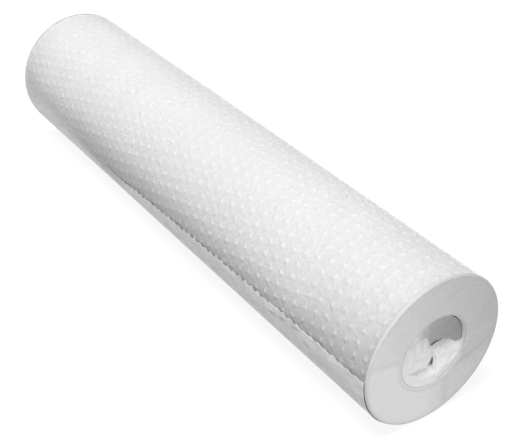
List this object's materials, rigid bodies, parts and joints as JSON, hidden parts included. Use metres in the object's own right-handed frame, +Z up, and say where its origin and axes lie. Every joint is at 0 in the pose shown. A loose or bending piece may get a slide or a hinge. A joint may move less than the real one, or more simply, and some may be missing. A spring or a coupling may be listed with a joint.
{
  "type": "couch paper roll",
  "caption": "Film-wrapped roll of dot-embossed couch paper on a wide core, with one end of the film tucked in and a lengthwise lap.",
  "frame": {"origin": "on the supporting surface, under the middle of the roll", "axes": "+X along the roll's axis towards the end where the film is tucked in, +Z up from the supporting surface, the film's lap on the -Y side"},
  "size_m": [0.5016, 0.1128, 0.1117],
  "materials": {
    "core_board": "matt white-lined paperboard",
    "sheet_paper": "soft matt white with raised dots",
    "glue": "dried white glue",
    "clear_film": "thin glossy clear film",
    "milky_film": "folded film, milky where it lies in layers"
  },
  "bodies": {
    "roll": {"core_tube": "core_board", "core_glue": "glue", "inner_turns": "sheet_paper", "sheet_fourth": "sheet_paper", "sheet_third": "sheet_paper", "sheet_second": "sheet_paper", "sheet_first": "sheet_paper", "tail_glue": "glue", "film_sleeve": "clear_film", "lap_weld": "milky_film", "near_panel": "clear_film", "near_pleat_wide": "milky_film", "near_pleat_side": "milky_film", "near_hem": "milky_film", "far_hem": "milky_film"},
    "lap": {"film_lap": "milky_film"},
    "tuck": {"tuck_bunch": "milky_film", "tuck_fold_upper": "milky_film", "tuck_fold_middle": "milky_film", "tuck_fold_lower": "milky_film", "tuck_fold_side": "milky_film"}
  },
  "joints": [
    {"name": "lap_peel", "type": "hinge", "parent": "roll", "child": "lap", "pos_m": [0, -0.02796, 0.0067], "axis": [1, 0, 0], "range_deg": [0, 50]},
    {"name": "tuck_pull", "type": "slide", "parent": "roll", "child": "tuck", "axis": [1, 0, 0], "range_m": [0, 0.03]}
  ]
}
